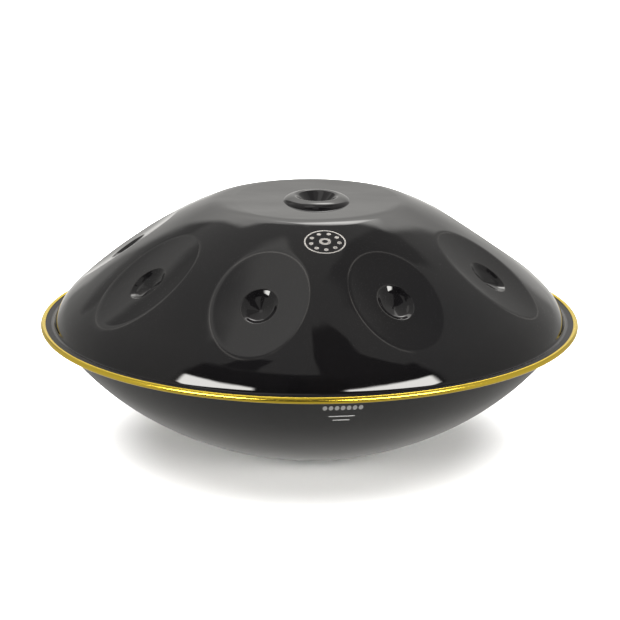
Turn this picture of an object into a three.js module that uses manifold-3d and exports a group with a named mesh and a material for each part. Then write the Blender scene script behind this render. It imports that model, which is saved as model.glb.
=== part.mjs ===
// A handpan: two pressed steel shells glued flange to flange, with a split brass tube round the rim.
// Millimetres, +Z up. The origin is on the floor, under the middle of the sound port; -Y faces the player.
// The upper shell carries a central note with a raised boss and nine notes round it, each a hollowed oval
// with a dimple. The lower shell has the sound port, whose turned-in neck leaves a flat ring to stand on.
import * as THREE from "three";
import { mergeVertices } from "three/addons/utils/BufferGeometryUtils.js";
import Module from "manifold-3d";

// Driving dimensions
const sheet = 1; // steel thickness of both shells
const rimHeight = 129; // floor to the middle of the glue line
const glue = 0.8; // thickness of the glue line
const clear = 0.3; // gap between pieces that lie against each other
const wallRadius = 256; // foot of both shell walls, where the flange begins
const flangeRadius = 266;

// Meridians from the pole outwards. Each arc is tangent to the one before it, up to this radius and slope.
const upperArcs = [
  { toRadius: 128.6, toSlope: 27.25 },
  { toRadius: 238, toSlope: 43.2 },
  { toRadius: wallRadius, toSlope: 69.7 },
  { toRadius: wallRadius + 2, toSlope: 0 },
];
const lowerArcs = [
  { toRadius: 216, toSlope: 42.2 },
  { toRadius: wallRadius, toSlope: 57.6 },
  { toRadius: wallRadius + 2.5, toSlope: 0 },
];

// The nine outer notes, by angle from the player's side, by distance from the axis and by size
const notes = [
  { angle: -19.1, reach: 190, size: 1.0 },
  { angle: 19.5, reach: 190, size: 0.95 },
  { angle: -59.7, reach: 189, size: 1.0 },
  { angle: 59.7, reach: 190, size: 0.97 },
  { angle: -101.5, reach: 185, size: 0.94 },
  { angle: 100, reach: 184, size: 0.92 },
  { angle: -141, reach: 186, size: 0.9 },
  { angle: 140, reach: 188, size: 0.87 },
  { angle: 180, reach: 190, size: 0.84 },
];
const noteHalf = { across: 45.5, along: 63 }; // half axes of the largest note's oval
const noteCut = 3.8; // how far the largest note's plane lies below the crown of the dome
const noteDish = { across: 37.4, along: 69.7, depth: 1.7 }; // the hollow pressed into that plane
const noteEdge = 0.9; // softness of the ridge round a note
const lip = 0.8; // softness of a dimple's edges

// A dimple is a shallow cone within a steep wall: both are depths, and fall by this much from middle to rim
const dimple = { across: 17.2, along: 20.5, depth: 7.2, cone: 5.2, wall: 12.5 };

// The central note, a little off the axis as it was hammered
const ding = { x: 6.2, y: -5, drop: 16.4, dish: 1.4, half: 82, stretch: 1.2, blend: 2.6 };
const boss = { foot: 33.2, crest: 18, height: 6.2, power: 2.2, round: 0.55 };
const crater = { radius: 21, depth: 17, power: 1.1, lip: 2 };

// Sound port
const standRing = { inner: 54, outer: 60 };
const neck = { roll: 7, height: 18 };

// Trim tube
const tube = { centre: 267, outer: 3, wall: 0.8, seam: 0.6 };

// How finely the solids are faceted
const noteLines = [2.6, 5.2, 11]; // degrees each side of a note's middle
const innerRings = [7, 13, 17.5, 21, 25, 30, 32.4, boss.foot, 46, 62, ding.half, 92, 106];
const noteRings = [126, 144, 160, 171, 177, 183, 190, 197, 203, 210, 226, 238];
const wallRings = [246, 252, wallRadius, wallRadius + 2, flangeRadius];
const bowlRadii = [68, 90, 114, 140, 166, 192, 216, 234, 248, 256, 258.5];
const lowerSides = 60;
const rimSides = 60;

const radians = THREE.MathUtils.degToRad;

// Smaller and larger of two values, rounded over where they are within k of each other
function smoothMin(a, b, k) {
  const h = THREE.MathUtils.clamp(0.5 + (0.5 * (b - a)) / k, 0, 1);
  return b + (a - b) * h - k * h * (1 - h);
}
const smoothMax = (a, b, k) => -smoothMin(-a, -b, k);

// Depth below the pole and slope, at a radius on a chain of arcs
function onArcs(arcs, radius) {
  let from = 0;
  let sine = 0;
  let depth = 0;
  for (const arc of arcs) {
    const endSine = Math.sin(radians(arc.toSlope));
    const bend = (arc.toRadius - from) / (endSine - sine);
    const here = Math.min(radius, arc.toRadius);
    const hereSine = sine + (here - from) / bend;
    depth += bend * (Math.sqrt(1 - sine ** 2) - Math.sqrt(1 - hereSine ** 2));
    if (radius <= arc.toRadius) return { depth, slope: Math.asin(hereSine) };
    from = arc.toRadius;
    sine = endSine;
  }
  return { depth, slope: 0 };
}

// Depth of a dimple: q is 0 in its middle and 1 at its rim
function dimpleDepth(q) {
  const cone = dimple.depth - dimple.cone * q;
  return smoothMax(0, smoothMin(cone, dimple.wall * (1 - q), lip), lip);
}

// Height of the central boss, with the crater in its middle, at a radius from the boss's middle
function bossHeight(radius) {
  if (radius >= boss.foot) return 0;
  const beyondCrest = Math.max(0, radius - boss.crest) / (boss.foot - boss.crest);
  const outside = boss.height * (1 - beyondCrest ** boss.power) ** boss.round;
  const inside = boss.height - crater.depth * (1 - (radius / crater.radius) ** crater.power);
  return Math.max(0, smoothMin(outside, inside, crater.lip));
}

const flangeTop = rimHeight + glue / 2 + clear + sheet;
const poleHeight = flangeTop + onArcs(upperArcs, wallRadius + 2).depth;

// Each note's plane: its middle on the dome, the way out from the axis, and its normal
const notePlanes = notes.map(({ angle, reach, size }) => {
  const { depth, slope } = onArcs(upperArcs, reach);
  const out = new THREE.Vector2(Math.sin(radians(angle)), -Math.cos(radians(angle)));
  const normal = new THREE.Vector3(out.x * Math.sin(slope), out.y * Math.sin(slope), Math.cos(slope));
  const height = poleHeight - depth - (noteCut * size ** 2) / Math.cos(slope);
  return { reach, size, slope, out, normal, height };
});

// A point on the upper shell's outer face, above x and y, before a dimple pushes it along its note's normal
function onUpperShell(x, y) {
  const radius = Math.hypot(x, y);
  let z = poleHeight - onArcs(upperArcs, radius).depth;
  const push = new THREE.Vector3();
  for (const { reach, size, slope, out, normal, height } of notePlanes) {
    const along = (x * out.x + y * out.y - reach) / Math.cos(slope);
    const across = x * out.y - y * out.x;
    const q = Math.hypot(across / noteHalf.across, along / noteHalf.along) / size;
    if (q > 1.5 || radius > 250) continue;
    const beyond = Math.hypot(across / noteDish.across, along / noteDish.along);
    const dish = (noteDish.depth * (size ** 2 - beyond ** 2)) / Math.cos(slope);
    z = smoothMin(z, height - along * Math.sin(slope) - dish, noteEdge);
    push.addScaledVector(normal, -dimpleDepth(Math.hypot(across / dimple.across, along / dimple.along)));
  }
  const q = Math.hypot(x - ding.x, (y - ding.y) / ding.stretch);
  if (q < 1.8 * ding.half) {
    z = smoothMin(z, poleHeight - ding.drop, ding.blend);
    z += bossHeight(q) - ding.dish * Math.max(0, 1 - (q / ding.half) ** 2);
  }
  return new THREE.Vector3(x, y, z).add(push);
}

// The same point and the one a sheet's thickness under it
function throughSheet(x, y) {
  const step = 0.05;
  const outer = onUpperShell(x, y);
  const alongX = onUpperShell(x + step, y).sub(onUpperShell(x - step, y));
  const alongY = onUpperShell(x, y + step).sub(onUpperShell(x, y - step));
  const normal = alongX.cross(alongY).normalize();
  return { outer, inner: outer.clone().addScaledVector(normal, -sheet) };
}

// Angles of the lines that run out from the pole: several through each note and one midway between neighbours
function spokeAngles() {
  const middles = notes.map((n) => n.angle).sort((a, b) => a - b);
  const angles = [];
  middles.forEach((middle, i) => {
    const next = middles[i + 1] ?? middles[0] + 360;
    for (const step of noteLines) angles.push(middle - step, middle + step);
    angles.push(middle, (middle + next) / 2);
  });
  return angles.sort((a, b) => a - b);
}

// Rings of points round the pole, closed by triangles. Rings near the pole use every second spoke.
function upperShellGeometry() {
  const spokes = spokeAngles();
  const coarse = spokes.filter((_, i) => i % 2 === 0);
  const rings = [
    ...innerRings.map((radius) => ({ radius, angles: coarse })),
    ...[...noteRings, ...wallRings].map((radius) => ({ radius, angles: spokes })),
  ];
  const pole = throughSheet(ding.x, ding.y);
  const outer = [pole.outer];
  const inner = [pole.inner];
  const starts = [];
  for (const { radius, angles } of rings) {
    starts.push(outer.length);
    const follow = 1 - THREE.MathUtils.smoothstep(radius, ding.half + 2, 126); // inner rings keep to its oval
    const stretch = 1 + (ding.stretch - 1) * follow;
    for (const angle of angles) {
      const x = ding.x * follow + radius * Math.sin(radians(angle));
      const y = ding.y * follow - stretch * radius * Math.cos(radians(angle));
      const point = throughSheet(x, y);
      outer.push(point.outer);
      inner.push(point.inner);
    }
  }
  const faces = [];
  coarse.forEach((_, i) => faces.push([0, starts[0] + i, starts[0] + ((i + 1) % coarse.length)]));
  for (let k = 0; k + 1 < rings.length; k++) {
    const near = rings[k].angles.length;
    const far = rings[k + 1].angles.length;
    for (let i = 0; i < near; i++) {
      const a = starts[k] + i;
      const b = starts[k] + ((i + 1) % near);
      const step = far / near;
      const c = starts[k + 1] + i * step;
      const d = starts[k + 1] + ((i * step + 1) % far);
      const e = starts[k + 1] + (((i + 1) * step) % far);
      if (step === 1) faces.push([a, c, d], [a, d, b]);
      else faces.push([a, c, d], [a, d, b], [b, d, e]);
    }
  }
  const under = outer.length;
  const all = [...faces, ...faces.map(([a, b, c]) => [under + a, under + c, under + b])];
  const edge = starts.at(-1);
  spokes.forEach((_, i) => {
    const a = edge + i;
    const b = edge + ((i + 1) % spokes.length);
    all.push([a, under + a, under + b], [a, under + b, b]);
  });
  const geometry = new THREE.BufferGeometry().setFromPoints([...outer, ...inner]);
  geometry.setIndex(all.flat());
  geometry.computeVertexNormals();
  return geometry;
}

// A closed outline of radius and height, turned about +Z
function turned(outline, sides) {
  const points = [...outline, outline[0]].map(([radius, height]) => new THREE.Vector2(radius, height));
  return new THREE.LatheGeometry(points, sides).rotateX(Math.PI / 2);
}

// Points on an arc about a centre, between two angles in degrees, measured from +radius towards +height
function arcPoints(centre, radius, from, to, count) {
  return Array.from({ length: count + 1 }, (_, i) => {
    const angle = radians(from + ((to - from) * i) / count);
    return [centre[0] + radius * Math.cos(angle), centre[1] + radius * Math.sin(angle)];
  });
}

// The outline of a sheet whose outer face follows a line, the thickness being to the line's left
function sheetOutline(line) {
  const back = line.map(([r, z], i) => {
    const before = line[Math.max(i - 1, 0)];
    const after = line[Math.min(i + 1, line.length - 1)];
    const along = new THREE.Vector2(after[0] - before[0], after[1] - before[1]).normalize();
    return [r - along.y * sheet, z + along.x * sheet];
  });
  return [...line, ...back.reverse()];
}

// From the top of the neck down into the standing ring, then up the bowl and out along the flange
function lowerShellGeometry() {
  const flangeUnder = rimHeight - glue / 2 - clear - sheet;
  const neckRadius = standRing.inner - neck.roll;
  const floorDepth = onArcs(lowerArcs, flangeRadius).depth;
  const line = [
    [neckRadius, neck.height],
    ...arcPoints([standRing.inner, neck.roll], neck.roll, 180, 270, 3),
    [standRing.outer, 0],
    ...bowlRadii.map((radius) => [radius, flangeUnder - floorDepth + onArcs(lowerArcs, radius).depth]),
    [flangeRadius, flangeUnder],
  ];
  return turned(sheetOutline(line), lowerSides);
}

// The glue line fills the joint from just inside the wall's foot to just short of the flange's edge.
function glueGeometry() {
  const inside = wallRadius + 3.5;
  const outside = flangeRadius - 0.8;
  const low = rimHeight - glue / 2;
  const high = rimHeight + glue / 2;
  const outline = [
    [inside, low],
    [outside, low],
    [outside, high],
    [inside, high],
  ];
  return turned(outline, rimSides);
}

// A tube slit along its inner side, so that it grips both flanges, and cut at the back where its ends meet
async function trimGeometry() {
  const bore = tube.outer - tube.wall;
  const halfSlot = glue / 2 + clear + sheet + clear; // room for the two flanges and the glue between them
  const outerLip = THREE.MathUtils.radToDeg(Math.asin(halfSlot / tube.outer));
  const innerLip = THREE.MathUtils.radToDeg(Math.asin(halfSlot / bore));
  const centre = [tube.centre, rimHeight];
  const outline = [
    ...arcPoints(centre, tube.outer, -180 + outerLip, 180 - outerLip, 10),
    ...arcPoints(centre, bore, 180 - innerLip, -180 + innerLip, 6),
  ];
  const seam = new THREE.BoxGeometry(tube.seam, 20, 20).translate(0, tube.centre, rimHeight);
  const wasm = await Module();
  wasm.setup();
  const solid = (geometry) => {
    const bare = geometry.clone();
    for (const name of ["normal", "uv"]) bare.deleteAttribute(name);
    const merged = mergeVertices(bare, 1e-4);
    return new wasm.Manifold(
      new wasm.Mesh({
        numProp: 3,
        vertProperties: merged.attributes.position.array,
        triVerts: new Uint32Array(merged.index.array),
      }),
    );
  };
  const cut = solid(turned(outline, rimSides)).subtract(solid(seam)).getMesh();
  const geometry = new THREE.BufferGeometry();
  geometry.setAttribute("position", new THREE.BufferAttribute(cut.vertProperties, 3));
  geometry.setIndex(new THREE.BufferAttribute(cut.triVerts, 1));
  geometry.computeVertexNormals();
  return geometry;
}

function piece(name, geometry, colour, roughness, metalness) {
  const material = new THREE.MeshStandardMaterial({ color: colour, roughness, metalness });
  const mesh = new THREE.Mesh(geometry, material);
  mesh.name = name;
  return mesh;
}

const handpan = new THREE.Group();
handpan.add(
  piece("upper_shell", upperShellGeometry(), 0x141416, 0.12, 0.6),
  piece("lower_shell", lowerShellGeometry(), 0x1d1d1e, 0.45, 0.5),
  piece("rim_glue", glueGeometry(), 0x2a2724, 0.6, 0),
  piece("rim_trim", await trimGeometry(), 0xd9b02c, 0.22, 0.9),
);

export default handpan;
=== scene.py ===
from math import asin, atan, cos, degrees, hypot, pi, radians, sin, sqrt

import bmesh
import bpy
from mathutils import Matrix, Vector, noise


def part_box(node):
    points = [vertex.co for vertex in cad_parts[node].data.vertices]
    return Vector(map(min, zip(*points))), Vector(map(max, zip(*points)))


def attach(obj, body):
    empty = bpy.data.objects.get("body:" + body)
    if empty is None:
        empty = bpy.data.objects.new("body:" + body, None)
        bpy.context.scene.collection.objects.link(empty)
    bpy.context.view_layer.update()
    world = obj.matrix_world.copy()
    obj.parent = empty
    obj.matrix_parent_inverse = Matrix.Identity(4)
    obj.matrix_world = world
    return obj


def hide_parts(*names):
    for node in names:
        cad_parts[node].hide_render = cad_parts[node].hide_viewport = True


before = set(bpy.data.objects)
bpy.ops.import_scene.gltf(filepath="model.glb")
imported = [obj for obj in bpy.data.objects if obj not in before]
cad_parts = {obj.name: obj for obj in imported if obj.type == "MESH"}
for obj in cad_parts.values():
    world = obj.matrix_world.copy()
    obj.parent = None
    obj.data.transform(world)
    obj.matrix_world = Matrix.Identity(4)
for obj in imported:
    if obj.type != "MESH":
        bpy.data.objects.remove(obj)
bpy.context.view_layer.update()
mm = 0.001

trimLow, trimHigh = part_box("rim_trim")
rimHeight = (trimLow[2] + trimHigh[2]) / 2  # floor to the middle of the joint
trimRadius = (trimHigh[0] - trimLow[0]) / 2
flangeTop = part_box("upper_shell")[0][2] + 1.0 * mm
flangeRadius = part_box("lower_shell")[1][0]
print("frame loaded: rim at", round(rimHeight, 4), "radius", round(trimRadius, 4))


def onArcs(arcs, radius):
    # depth below the pole at a radius, on a chain of arcs, each tangent to the one before
    begin, sine, depth = 0.0, 0.0, 0.0
    for toRadius, toSlope in arcs:
        endSine = sin(radians(toSlope))
        bend = (toRadius - begin) / (endSine - sine)
        hereSine = sine + (min(radius, toRadius) - begin) / bend
        depth += bend * (sqrt(1 - sine**2) - sqrt(1 - hereSine**2))
        if radius <= toRadius:
            break
        begin, sine = toRadius, endSine
    return depth


def slopeOn(arcs, radius):
    step = 0.01 * mm
    return atan((onArcs(arcs, radius + step) - onArcs(arcs, radius - step)) / (2 * step))


def softMin(a, b, k):
    # the smaller of two values, rounded over where they are within k of each other
    h = min(max(0.5 + 0.5 * (b - a) / k, 0), 1)
    return b + (a - b) * h - k * h * (1 - h)


def softMax(a, b, k):
    return -softMin(-a, -b, k)


def ease(x, low, high):
    t = min(max((x - low) / (high - low), 0), 1)
    return t * t * (3 - 2 * t)


def walk(start, stop, step):
    # even steps from start up to, and not including, stop
    count = max(1, round((stop - start) / step))
    return [start + (stop - start) * i / count for i in range(count)]


def finishPiece(name, bm, material, node, sharp=40):
    mesh = bpy.data.meshes.new(name)
    bm.to_mesh(mesh)
    bm.free()
    mesh.shade_smooth()
    mesh.set_sharp_from_angle(angle=radians(sharp))
    mesh.materials.append(material)
    piece = bpy.data.objects.new(name, mesh)
    bpy.context.scene.collection.objects.link(piece)
    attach(piece, "root")
    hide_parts(node)
    print(name, "made:", len(mesh.polygons), "faces")
    return piece


class Wire:
    # a shader socket that sums can be written with
    def __init__(self, socket):
        self.socket = socket

    def node(self, kind, settings=None, inputs=None, output=0):
        made = self.socket.id_data.nodes.new(kind)
        for name, value in (settings or {}).items():
            setattr(made, name, value)
        for name, value in (inputs or {}).items():
            if isinstance(value, Wire):
                self.socket.id_data.links.new(value.socket, made.inputs[name])
            else:
                made.inputs[name].default_value = value
        return Wire(made.outputs[output])

    def sum(self, operation, a, b=0.0):
        return self.node("ShaderNodeMath", {"operation": operation}, {0: a, 1: b})

    def __add__(self, other):
        return self.sum("ADD", self, other)

    __radd__ = __add__

    def __mul__(self, other):
        return self.sum("MULTIPLY", self, other)

    __rmul__ = __mul__

    def __sub__(self, other):
        return self.sum("SUBTRACT", self, other)

    def __rsub__(self, other):
        return self.sum("SUBTRACT", other, self)

    def __truediv__(self, other):
        return self.sum("DIVIDE", self, other)

    def __abs__(self):
        return self.sum("ABSOLUTE", self)

    def inside(self, low, high):
        # 0 where the value is below low, 1 above high; low may be the higher of the two
        span = {"Value": self, "From Min": low, "From Max": high}
        return self.node("ShaderNodeMapRange", {"interpolation_type": "SMOOTHSTEP"}, span)

    def colour(self, a, b):
        # colour a where this is 0, b where it is 1
        return self.node("ShaderNodeMix", {"data_type": "RGBA"}, {0: self, 6: a, 7: b}, output=2)

    def parts(self):
        split = self.node("ShaderNodeSeparateXYZ", inputs={0: self}).socket.node
        return [Wire(socket) for socket in split.outputs]


def together(a, b):
    # distance from the middle, for two coordinates at right angles
    return a.sum("SQRT", a * a + b * b)


def either(a, b):
    return a.sum("MAXIMUM", a, b)


def startMaterial(name, fixed):
    material = bpy.data.materials.new(name)
    material.use_nodes = True
    shader = material.node_tree.nodes["Principled BSDF"]
    for socket, value in fixed.items():
        shader.inputs[socket].default_value = value
    place = material.node_tree.nodes.new("ShaderNodeTexCoord")
    return material, shader, Wire(place.outputs["Object"])


def feed(shader, **wires):
    for name, wire in wires.items():
        shader.id_data.links.new(wire.socket, shader.inputs[name.replace("_", " ")])


def speckle(place, scale, detail=2.0, roughness=0.5):
    settings = {"Vector": place, "Scale": scale, "Detail": detail, "Roughness": roughness}
    return place.node("ShaderNodeTexNoise", inputs=settings)


playingShell = {
    "sheet": 1.0 * mm,
    "arcs": [(128.6 * mm, 27.25), (238 * mm, 43.2), (256 * mm, 69.7), (258 * mm, 0)],
    # the nine outer notes: degrees from the player's side, distance from the axis, size
    "notes": [
        (-19.1, 190 * mm, 1.0),
        (19.5, 190 * mm, 0.95),
        (-59.7, 189 * mm, 1.0),
        (59.7, 190 * mm, 0.97),
        (-101.5, 185 * mm, 0.94),
        (100, 184 * mm, 0.92),
        (-141, 186 * mm, 0.9),
        (140, 188 * mm, 0.87),
        (180, 190 * mm, 0.84),
    ],
    "noteHalf": (45.5 * mm, 63 * mm),  # half axes of the largest note, across and down the slope
    "noteCut": 3.8 * mm,  # how far the largest note's plane lies below the crown of the dome
    "noteDish": 1.7 * mm,
    "dishHalf": (37.4 * mm, 69.7 * mm),
    "noteEdge": 0.45 * mm,
    # a dimple is a shallow cone within a steep wall, with the punch's mark in its middle
    "dimple": (17.2 * mm, 20.5 * mm),
    "dimpleDepth": 7.2 * mm,
    "dimpleCone": 5.2 * mm,
    "dimpleWall": 12.5 * mm,
    "dimpleKnee": 0.5 * mm,
    "dimpleEdge": 0.35 * mm,
    "punch": 0.12,
    "punchDepth": 0.5 * mm,
    # the central note: its middle, how far it stretches front to back, and its flat top
    "ding": (6.2 * mm, -5 * mm),
    "dingStretch": 1.2,
    "dingHalf": 82 * mm,
    "dingDrop": 16.4 * mm,
    "dingDish": 1.4 * mm,
    "dingBlend": 2.6 * mm,
    "bossFoot": 33.2 * mm,
    "bossCrest": 18 * mm,
    "bossHeight": 5.75 * mm,
    "bossPower": 2.2,
    "bossRound": 0.65,
    "crater": 21 * mm,
    "craterDepth": 17 * mm,
    "craterPower": 1.1,
    "craterLip": 2 * mm,
    "hammered": 0.28 * mm,  # unevenness left by the hammer
    "hammerMarks": 25,  # per metre
    "spokes": 288,
}


def oval(place, half):
    return hypot(place[0] / half[0], place[1] / half[1])


def shellFunction(spec):
    # returns the function that carries a point of the flat pattern on to the shell
    arcs = spec["arcs"]
    pole = flangeTop + onArcs(arcs, arcs[-1][0])
    planes = []
    for angle, reach, size in spec["notes"]:
        lean = slopeOn(arcs, reach)
        out = Vector((sin(radians(angle)), -cos(radians(angle))))
        normal = Vector((out.x * sin(lean), out.y * sin(lean), cos(lean)))
        height = pole - onArcs(arcs, reach) - spec["noteCut"] * size**2 / cos(lean)
        planes.append((reach, size, lean, out, normal, height))

    def onPlane(plane, x, y):
        # where a point is on a note's plane: across it, and along its slope
        reach, size, lean, out, normal, height = plane
        return x * out.y - y * out.x, (x * out.x + y * out.y - reach) / cos(lean)

    def nearest(x, y):
        # how far out a point is of the nearest note and of the nearest dimple, 1 being the outline
        notes, holes = [], []
        for plane in planes:
            place = onPlane(plane, x, y)
            notes.append(oval(place, spec["noteHalf"]) / plane[1])
            holes.append(oval(place, spec["dimple"]))
        return min(notes), min(holes)

    def dimple(q):
        q = hypot(q, 0.05)
        wall = spec["dimpleWall"] * (1 - q)
        depth = softMin(spec["dimpleDepth"] - spec["dimpleCone"] * q, wall, spec["dimpleKnee"])
        punched = spec["punchDepth"] * max(0, 1 - (q / spec["punch"]) ** 2) ** 2
        return softMax(0, depth, spec["dimpleEdge"]) + punched

    def boss(q):
        # height of the boss, with the crater in its middle
        crest, foot, crater = spec["bossCrest"], spec["bossFoot"], spec["crater"]
        if q >= foot:
            return 0
        beyond = max(0, q - crest) / (foot - crest)
        outside = spec["bossHeight"] * (1 - beyond ** spec["bossPower"]) ** spec["bossRound"]
        inside = spec["bossHeight"] - spec["craterDepth"] * (1 - (q / crater) ** spec["craterPower"])
        return softMin(outside, inside, spec["craterLip"]) if q < crater + 2 * mm else outside

    def lifted(x, y):
        radius = hypot(x, y)
        z = pole - onArcs(arcs, radius)
        push = Vector((0, 0, 0))
        for plane in planes:
            reach, size, lean, out, normal, height = plane
            place = onPlane(plane, x, y)
            if radius < 250 * mm and oval(place, spec["noteHalf"]) < 1.5 * size:
                dish = spec["noteDish"] * (size**2 - oval(place, spec["dishHalf"]) ** 2) / cos(lean)
                z = softMin(z, height - place[1] * sin(lean) - dish, spec["noteEdge"])
                push -= normal * dimple(oval(place, spec["dimple"]))
        q = hypot(x - spec["ding"][0], (y - spec["ding"][1]) / spec["dingStretch"])
        if q < 1.8 * spec["dingHalf"]:
            z = softMin(z, pole - spec["dingDrop"], spec["dingBlend"])
            z += boss(q) - spec["dingDish"] * max(0, 1 - (q / spec["dingHalf"]) ** 2)
        uneven = noise.noise(Vector((x, y, 0.1)) * spec["hammerMarks"])
        z += spec["hammered"] * uneven * (1 - ease(radius, 236 * mm, 250 * mm))
        return Vector((x, y, z)) + push

    def throughSheet(x, y, depth):
        step = 0.05 * mm
        alongX = lifted(x + step, y) - lifted(x - step, y)
        alongY = lifted(x, y + step) - lifted(x, y - step)
        return lifted(x, y) - alongX.cross(alongY).normalized() * depth

    return throughSheet, nearest


def flatPattern(spec, rings, spokes):
    # a flat disc of rings grown outwards from the pole; the inner ones follow the central note's oval
    bm = bmesh.new()
    bmesh.ops.create_circle(bm, cap_ends=True, cap_tris=True, segments=spokes, radius=rings[0])
    edge = [e for e in bm.edges if e.is_boundary]
    for before, radius in zip(rings, rings[1:]):
        grown = bmesh.ops.extrude_edge_only(bm, edges=edge)["geom"]
        verts = [g for g in grown if isinstance(g, bmesh.types.BMVert)]
        bmesh.ops.scale(bm, vec=(radius / before, radius / before, 1), verts=verts)
        outer = set(verts)
        edge = [g for g in grown if isinstance(g, bmesh.types.BMEdge) and set(g.verts) <= outer]
    for vert in bm.verts:
        follow = 1 - ease(vert.co.xy.length, spec["dingHalf"] + 2 * mm, 126 * mm)
        vert.co.y *= 1 + (spec["dingStretch"] - 1) * follow
        vert.co.x += spec["ding"][0] * follow
        vert.co.y += spec["ding"][1] * follow
    return bm


def fineRings(spec):
    foot, ding = spec["bossFoot"], spec["dingHalf"]
    near = 0.4 * mm
    rings = walk(2 * mm, 12 * mm, 2 * mm) + walk(12 * mm, foot - near, 0.9 * mm)
    rings += [foot - near, foot, foot + near] + walk(foot + 1.2 * mm, ding - 1.2 * mm, 2.6 * mm)
    rings += [ding - 3 * near, ding - near, ding, ding + near] + walk(ding + 3 * near, 124 * mm, 2.6 * mm)
    return rings + walk(124 * mm, 248 * mm, 3.2 * mm)


def coarseRings():
    rings = walk(4 * mm, 40 * mm, 3 * mm) + walk(40 * mm, 124 * mm, 7 * mm)
    return rings + walk(124 * mm, 248 * mm, 5 * mm)


def makePlayingShell(spec, material):
    throughSheet, nearest = shellFunction(spec)
    foot = walk(248 * mm, 255 * mm, 1.4 * mm) + walk(255 * mm, 259 * mm, 0.5 * mm)
    foot += [259 * mm, flangeRadius]

    def refine(bm, wanted):
        chosen = set()
        for face in bm.faces:
            centre = face.calc_center_median()
            if wanted(*nearest(centre.x, centre.y)):
                chosen.update(face.edges)
        bmesh.ops.subdivide_edges(bm, edges=list(chosen), cuts=1, use_grid_fill=True)

    def lift(bm, depth):
        for vert in bm.verts:
            vert.co = throughSheet(vert.co.x, vert.co.y, depth)

    bm = flatPattern(spec, fineRings(spec) + foot, spec["spokes"])
    refine(bm, lambda note, hole: 0.84 < note < 1.14 or hole < 1.4)
    refine(bm, lambda note, hole: hole < 1.25)
    refine(bm, lambda note, hole: 0.88 < hole < 1.1 or hole < 0.25)
    outline = bm.verts.layers.float.new("noteOutline")
    lip = bm.verts.layers.float.new("dimpleLip")
    for vert in bm.verts:
        vert[outline], vert[lip] = nearest(vert.co.x, vert.co.y)
    lift(bm, 0)
    inner = flatPattern(spec, coarseRings() + foot, spec["spokes"] // 2)
    lift(inner, spec["sheet"])
    bmesh.ops.reverse_faces(inner, faces=inner.faces)
    spare = bpy.data.meshes.new("inner")
    inner.to_mesh(spare)
    inner.free()
    bm.from_mesh(spare)
    bpy.data.meshes.remove(spare)
    bmesh.ops.bridge_loops(bm, edges=[e for e in bm.edges if e.is_boundary])
    bmesh.ops.recalc_face_normals(bm, faces=bm.faces)
    return finishPiece("playing_shell", bm, material, "upper_shell")


ornament = {
    "angle": 1.4,
    "reach": 125 * mm,
    "narrow": 0.76,
    "ring": 13.6 * mm,
    "dot": 1.9 * mm,
    "hub": 5.4 * mm,
}


def nineDots(place, spec):
    # a ring of nine dots round a hub, within a thin circle; 1 on the mark and 0 off it
    edge = 0.25 * mm
    out = radians(spec["angle"])
    centre = (spec["reach"] * sin(out), -spec["reach"] * cos(out), 0)
    laid = {"Location": centre, "Rotation": (0, 0, out), "Scale": (1, spec["narrow"], 1)}
    flat = place.node("ShaderNodeMapping", {"vector_type": "TEXTURE"}, {"Vector": place, **laid})
    x, y, z = flat.parts()
    radius = together(x, y)
    turn = x.sum("ARCTAN2", y, x) * (9 / (2 * pi)) + 9.75
    across = (x.sum("FRACT", turn) - 0.5) * (2 * pi / 9) * radius
    dots = together(across, radius - spec["ring"]).inside(spec["dot"] + edge, spec["dot"] - edge)
    hub = radius.inside(spec["hub"] + edge, spec["hub"] - edge)
    bore = radius.inside(spec["hub"] * 0.55 + edge, spec["hub"] * 0.55 - edge)
    circle = abs(radius - spec["ring"] * 1.4).inside(0.5 * mm + edge, 0.5 * mm - edge)
    return either(either(dots, circle), hub - bore)


glossBlack = {
    "colour": (0.0008, 0.0008, 0.0011, 1),
    "clouded": (0.002, 0.0018, 0.0018, 1),
    # paler colour on the ridges: rubbed paint, and a painted highlight along the note outlines and dimple
    # lips
    "wornAndHighlit": (0.011, 0.0105, 0.01, 1),
    "silver": (0.62, 0.59, 0.56, 1),
    "roughness": 0.03,
}


def glossBlackSteel(spec):
    material, shader, place = startMaterial("glossBlackSteel", {"IOR": 1.5})
    cloud = speckle(place, 9, 3, 0.6)
    ripple = speckle(place, 30, 1.5, 0.4)
    peel = speckle(place, 330, 1)
    mark = nineDots(place, ornament)
    x, y, z = place.parts()
    flange = together(x, y).inside(258 * mm, 260 * mm)  # the flange is left duller than the dome
    note = place.node("ShaderNodeAttribute", {"attribute_name": "noteOutline"}, output=2)
    hole = place.node("ShaderNodeAttribute", {"attribute_name": "dimpleLip"}, output=2)
    ridgeWearAndHighlight = either(abs(note - 1).inside(0.018, 0.004), abs(hole - 1.01).inside(0.035, 0.01))
    ridgeWearAndHighlight = ridgeWearAndHighlight * cloud.inside(0.4, 0.65)  # paler ridges where the paint is rubbed thin; this is also a painted highlight line along the note outlines and dimple lips
    height = ripple + peel * 0.012 + mark * 0.02
    paint = ridgeWearAndHighlight.colour(cloud.colour(spec["colour"], spec["clouded"]), spec["wornAndHighlit"])
    bump = place.node("ShaderNodeBump", inputs={"Height": height, "Distance": 0.25 * mm})
    roughness = spec["roughness"] + cloud.inside(0.35, 0.75) * 0.03 + mark * 0.3 + ridgeWearAndHighlight * 0.1 + flange * 0.5
    feed(
        shader,
        Base_Color=mark.colour(paint, spec["silver"]),
        Metallic=mark,
        Roughness=roughness,
        Normal=bump,
    )
    return material


makePlayingShell(playingShell, glossBlackSteel(glossBlack))

bottomShell = {
    "sheet": 1.0 * mm,
    "arcs": [(216 * mm, 42.2), (256 * mm, 57.6), (258.5 * mm, 0)],
    "standRing": (54 * mm, 59 * mm),
    "neckRoll": 7 * mm,
    "neckHeight": 18 * mm,
    "steps": 192,
}


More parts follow.
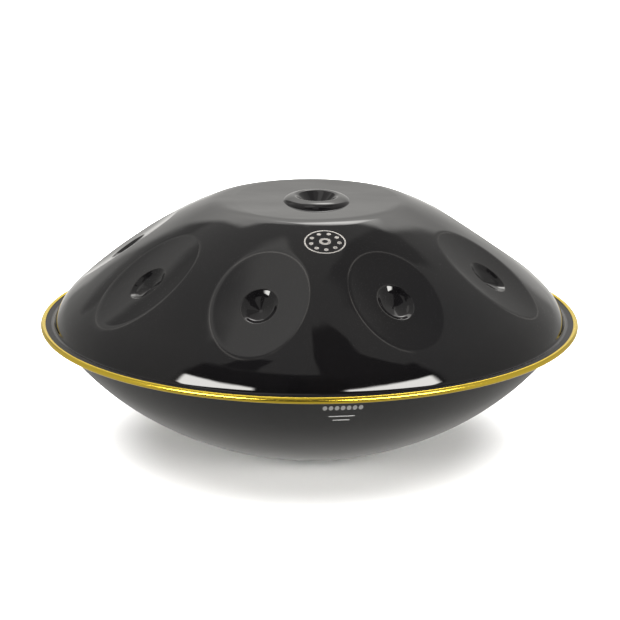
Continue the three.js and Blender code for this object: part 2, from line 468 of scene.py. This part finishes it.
def spun(bm, points, steps, turn=2 * pi, start=0.0):
    # a line of (radius, height) points, turned about +Z
    verts = [bm.verts.new((r, 0, z)) for r, z in points]
    edges = [bm.edges.new(pair) for pair in zip(verts, verts[1:])]
    bmesh.ops.rotate(bm, verts=verts, matrix=Matrix.Rotation(start, 3, "Z"))
    full = turn == 2 * pi
    bmesh.ops.spin(bm, geom=verts + edges, axis=(0, 0, 1), angle=turn, steps=steps, use_merge=full)
    bmesh.ops.recalc_face_normals(bm, faces=bm.faces)


def arcPoints(centre, radius, start, stop, count):
    turns = [radians(start + (stop - start) * i / count) for i in range(count + 1)]
    return [(centre[0] + radius * cos(t), centre[1] + radius * sin(t)) for t in turns]


def makeBottomShell(spec, material):
    # from the top of the neck down into the ring that it stands on, then up the bowl and out to the flange
    inner, outer = spec["standRing"]
    roll = spec["neckRoll"]
    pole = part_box("lower_shell")[1][2] - spec["sheet"] - onArcs(spec["arcs"], flangeRadius)
    top = spec["neckHeight"]
    line = [(inner - roll, top + roll - height) for height in walk(roll, top, 2 * mm)]
    line += arcPoints((inner, roll), roll, 180, 270, 12) + [(outer, 0)]
    radii = walk(outer + 6 * mm, 250 * mm, 3.2 * mm) + walk(250 * mm, 260 * mm, 0.6 * mm)
    radii += [260 * mm, flangeRadius]
    line += [(radius, pole + onArcs(spec["arcs"], radius)) for radius in radii]
    bm = bmesh.new()
    spun(bm, line, spec["steps"])
    if sum(face.normal.z * face.calc_area() for face in bm.faces) > 0:  # the outer face looks down
        bmesh.ops.reverse_faces(bm, faces=bm.faces)
    piece = finishPiece("bottom_shell", bm, material, "lower_shell", sharp=60)
    wall = piece.modifiers.new("sheet", "SOLIDIFY")
    wall.thickness = spec["sheet"]
    wall.offset = -1
    wall.use_even_offset = True
    return piece


makerMark = {
    "angle": 1.8,
    "wide": 19 * mm,
    "dots": 7,
    "dot": 2.0 * mm,
    "row": -13.5 * mm,
    "bars": (-24 * mm, -29 * mm),
}


def dotsAndBars(place, spec):
    # a row of dots over two thin bars, below the rim on the player's side; 1 on the mark and 0 off it
    edge = 0.2 * mm
    x, y, z = place.parts()
    turn = x.sum("ARCTAN2", x, 0 - y) - radians(spec["angle"])
    across = turn * together(x, y)
    drop = z - rimHeight
    pitch = 2 * spec["wide"] / spec["dots"]
    cell = (x.sum("FRACT", across / pitch + 100.5) - 0.5) * pitch
    width = abs(across)
    row = width.inside(spec["wide"] + edge, spec["wide"] - edge)
    mark = together(cell, (drop - spec["row"]) * 0.8).inside(spec["dot"] + edge, spec["dot"] - edge) * row
    for height, share in zip(spec["bars"], (0.62, 0.4)):
        thin = abs(drop - height).inside(0.5 * mm + edge, 0.5 * mm - edge) * 0.5
        mark = either(mark, thin * width.inside(spec["wide"] * share + edge, spec["wide"] * share - edge))
    return mark


satinBlack = {
    "colour": (0.003, 0.003, 0.0032, 1),
    "clouded": (0.0045, 0.0045, 0.0045, 1),
    "silver": (0.55, 0.55, 0.54, 1),
    "roughness": 0.3,
}


def satinBlackSteel(spec):
    material, shader, place = startMaterial("satinBlackSteel", {"IOR": 1.5})
    cloud = speckle(place, 14, 3)
    grain = speckle(place, 1400)
    mark = dotsAndBars(place, makerMark)
    bump = place.node("ShaderNodeBump", inputs={"Height": grain, "Strength": 0.25, "Distance": 0.15 * mm})
    feed(
        shader,
        Base_Color=mark.colour(cloud.colour(spec["colour"], spec["clouded"]), spec["silver"]),
        Metallic=mark,
        Roughness=spec["roughness"] + cloud * 0.06 + grain * 0.04 + mark * 0.2,
        Normal=bump,
    )
    return material


makeBottomShell(bottomShell, satinBlackSteel(satinBlack))

trimTube = {"outer": 3.0 * mm, "wall": 0.8 * mm, "halfSlot": 2.0 * mm, "seam": 0.6 * mm, "steps": 288}


def makeTrimTube(spec, material):
    lip = degrees(asin(spec["halfSlot"] / spec["outer"]))
    centre = (trimRadius - spec["outer"], rimHeight)
    line = arcPoints(centre, spec["outer"], -180 + lip, 180 - lip, 30)
    gap = spec["seam"] / centre[0]
    bm = bmesh.new()
    spun(bm, line, spec["steps"], turn=2 * pi - gap, start=pi / 2 + gap / 2)
    piece = finishPiece("trim_tube", bm, material, "rim_trim", sharp=60)
    wall = piece.modifiers.new("wall", "SOLIDIFY")
    wall.thickness = spec["wall"]
    wall.offset = -1
    wall.use_even_offset = True
    return piece


gold = {"colour": (0.95, 0.7, 0.08, 1), "dull": (0.85, 0.61, 0.06, 1), "roughness": 0.16}


def goldTrim(spec):
    material, shader, place = startMaterial("goldTrim", {"Metallic": 1.0})
    cloud = speckle(place, 30, 3)
    fine = speckle(place, 600)
    bump = place.node("ShaderNodeBump", inputs={"Height": fine, "Strength": 0.08, "Distance": 0.04 * mm})
    feed(
        shader,
        Base_Color=cloud.colour(spec["colour"], spec["dull"]),
        Roughness=spec["roughness"] + cloud * 0.08,
        Normal=bump,
    )
    return material


makeTrimTube(trimTube, goldTrim(gold))


def curedAdhesive():
    material, shader, place = startMaterial("curedAdhesive", {"Roughness": 0.6})
    cloud = speckle(place, 120, 3)
    bump = place.node("ShaderNodeBump", inputs={"Height": cloud, "Distance": 0.3 * mm})
    feed(shader, Base_Color=cloud.colour((0.02, 0.018, 0.017, 1), (0.045, 0.04, 0.036, 1)), Normal=bump)
    return material


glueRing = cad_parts["rim_glue"]
glueRing.data.materials.clear()
glueRing.data.materials.append(curedAdhesive())

studio = {
    "turn": -5.2,
    "elevation": 16.25,
    "distance": 2.0,
    "lens": 114.66,
    "drop": 0.1776,
    "roll": 0.184,
    "shift": 0.00085,
    "walls": 0.45,
    "floorGlow": (0.5, 1.1, 0.36),  # far off at the sides, far off behind, and close under the object
    # cards hung round the object, seen from it, in degrees from the front and above the horizon:
    # left, right, low, high, softness, light
    "cards": [
        (-62, 62, -28, 50, 3, 0.05),
        (-10, 18, 22, 42, 1, 0.01),
        (-52, -30, 50, 68, 2, 0.07),
        (6, 55, 48, 84, 1.5, 0.055),
        (-165, -88, 63, 80, 3, 0.95),
        (-142, -124, 25, 40, 4, 0.64),
        (100, 155, 58, 79, 3, 0.29),
        (136, 156, 45, 75, 2, 0.25),
        (-156, -140, 15, 33, 2, 0.27),
    ],
    "window": (153, 203.5, 3),  # its two sides, in degrees round from the front, and their softness
    "windowSlope": 0.35,
    "lamps": [(-60, -25), (16, 59)],  # two lamps in front, from one side to the other
    "lampLow": 12,
    "lampTop": 25,
    "lampRise": 0.08,
    "lampLight": 18,
    "overhead": 760,
    "overheadSize": 6.0,
    "overheadHeight": 3.0,
}


def makeCamera(spec):
    lens = bpy.data.cameras.new("camera")
    lens.lens = spec["lens"]
    lens.sensor_width = 36
    lens.shift_x = spec["shift"]
    camera = bpy.data.objects.new("camera", lens)
    bpy.context.scene.collection.objects.link(camera)
    tilt = radians(90 - spec["elevation"] + spec["drop"])
    back = Vector((0, -cos(radians(spec["elevation"])), sin(radians(spec["elevation"]))))
    turn = Matrix.Rotation(radians(spec["turn"]), 4, "Z")
    place = Matrix.Translation(Vector((0, 0, rimHeight)) + turn @ (back * spec["distance"]))
    roll = Matrix.Rotation(radians(spec["roll"]), 4, "Z")
    camera.matrix_world = place @ turn @ Matrix.Rotation(tilt, 4, "X") @ roll
    bpy.context.scene.camera = camera


def makeWorld(spec):
    world = bpy.data.worlds.new("studio")
    bpy.context.scene.world = world
    world.use_nodes = True
    tree = world.node_tree
    way = Wire(tree.nodes.new("ShaderNodeTexCoord").outputs["Generated"])
    turned = {"Vector": way, "Rotation": (0, 0, radians(spec["turn"]))}
    x, y, z = way.node("ShaderNodeMapping", {"vector_type": "TEXTURE"}, turned).parts()
    side = x.sum("ARCTAN2", x, 0 - y) * (180 / pi)  # from the front, + to the right
    up = x.sum("ARCSINE", z) * (180 / pi)
    off = abs(side)
    behind = x.sum("FLOORED_MODULO", side, 360.0)

    def card(left, right, low, high, soft):
        wide = side.inside(left - soft, left + soft) * side.inside(right + soft, right - soft)
        return wide * up.inside(low - soft, low + soft) * up.inside(high + soft, high - soft)

    besides, behindIt, near = spec["floorGlow"]
    far = besides + (behindIt - besides) * off.inside(145, 178)
    light = far + (near - far) * up.inside(-28, -70) + (spec["walls"] - far) * up.inside(-3, 3)
    for left, right, low, high, soft, shade in spec["cards"]:
        light = light + (shade - light) * card(left, right, low, high, soft)
    # a window behind, brighter towards its top, with one bright spot in it; its top slopes down to its sides
    left, right, soft = spec["window"]
    window = behind.inside(left - soft, left + soft) * behind.inside(right + 2, right - 2)
    sloped = up + (180 - off) * spec["windowSlope"]
    window = window * sloped.inside(58, 54.5) * up.inside(-3, 1)
    spot = together((behind - 173) / 14, (up - 45) / 7).inside(1.3, 0.2)
    pane = 0.8 + 1.1 * up.inside(18, 46) + 4.5 * spot
    light = light + (pane - light) * window
    top = spec["lampTop"] + spec["lampRise"] * off  # the lamps' upper edges rise outwards
    for left, right in spec["lamps"]:
        lamp = card(left, right, spec["lampLow"], 80, 1.5) * (top - up).inside(-1.5, 1.5)
        light = light + (spec["lampLight"] - light) * lamp
    seen = Wire(tree.nodes.new("ShaderNodeLightPath").outputs["Is Camera Ray"])
    background = tree.nodes["Background"]
    tree.links.new((light + (1 - light) * seen).socket, background.inputs["Strength"])
    background.inputs["Color"].default_value = (1, 0.985, 0.95, 1)


def makeFloor():
    bm = bmesh.new()
    bmesh.ops.create_grid(bm, x_segments=8, y_segments=8, size=6)
    mesh = bpy.data.meshes.new("floor")
    bm.to_mesh(mesh)
    bm.free()
    floor = bpy.data.objects.new("floor", mesh)
    bpy.context.scene.collection.objects.link(floor)
    material, shader, place = startMaterial("paleFloor", {"Roughness": 0.9, "Base Color": (0.9, 0.9, 0.9, 1)})
    mesh.materials.append(material)
    floor.visible_glossy = False


def makeOverhead(spec):
    lamp = bpy.data.lights.new("overhead", "AREA")
    lamp.shape = "DISK"
    lamp.size = spec["overheadSize"]
    lamp.energy = spec["overhead"]
    light = bpy.data.objects.new("overhead", lamp)
    light.location = (0, 0, spec["overheadHeight"])
    light.visible_glossy = False
    bpy.context.scene.collection.objects.link(light)


makeCamera(studio)
makeWorld(studio)
makeFloor()
makeOverhead(studio)
bpy.context.scene.view_settings.view_transform = "Standard"
print("studio ready")
